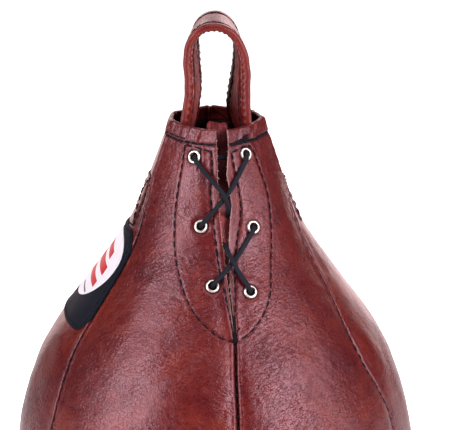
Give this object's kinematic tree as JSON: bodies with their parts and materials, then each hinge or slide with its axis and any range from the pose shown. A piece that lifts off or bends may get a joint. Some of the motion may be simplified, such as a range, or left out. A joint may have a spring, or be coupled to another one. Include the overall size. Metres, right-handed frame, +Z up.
{
  "type": "laced leather speed bag",
  "caption": "Teardrop leather punching bag with a laced throat, an inflatable bladder and a rolled leather loop for hanging it from a swivel hook.",
  "frame": {"origin": "middle of the hanging eye, on the axis of the half-round arch and half way along the strap's width", "axes": "+Z up along the hanging axis, +Y along the eye's axis and away from the laced side, +X to the right of someone facing the lacing"},
  "size_m": [0.255, 0.255, 0.408],
  "materials": {
    "brown_leather": "glossy full-grain leather, oiled red-brown, creased",
    "tongue_leather": "dark red-brown leather",
    "lining_cloth": "plain woven cotton",
    "nickel_eyelet": "polished nickel plate",
    "black_cord": "matt waxed braided cord",
    "black_thread": "bonded sewing thread",
    "black_label": "satin-woven black tape",
    "white_label": "satin-woven white field with plain red bars",
    "webbing": "coarse woven tape",
    "bladder_rubber": "moulded butyl rubber",
    "valve_rubber": "moulded rubber",
    "valve_brass": "turned brass"
  },
  "bodies": {
    "loop": {"loop_cover": "brown_leather", "loop_webbing": "webbing", "loop_inner_strip": "brown_leather"},
    "bag": {"panel_front_left": "brown_leather", "panel_front_right": "brown_leather", "panel_side_left": "brown_leather", "panel_side_right": "brown_leather", "panel_back_left": "brown_leather", "panel_back_right": "brown_leather", "lining_front_left": "lining_cloth", "lining_front_right": "lining_cloth", "lining_side_left": "lining_cloth", "lining_side_right": "lining_cloth", "lining_back_left": "lining_cloth", "lining_back_right": "lining_cloth", "lacing_facing_left": "brown_leather", "lacing_facing_right": "brown_leather", "lacing_tongue": "tongue_leather", "eyelets": "nickel_eyelet", "eyelet_washers": "nickel_eyelet", "lace": "black_cord", "bar_tack": "black_thread", "label_patch": "black_label", "label_field": "white_label", "loop_tail_left": "brown_leather", "loop_tail_right": "brown_leather", "anchor_patch_left": "brown_leather", "anchor_patch_right": "brown_leather", "bladder": "bladder_rubber", "bladder_valve": "valve_rubber", "valve_core": "valve_brass"}
  },
  "joints": [
    {"name": "collar_sway", "type": "hinge", "parent": "loop", "child": "bag", "pos_m": [0, 0, -0.039], "axis": [0, 1, 0], "range_deg": [-15, 15]}
  ]
}
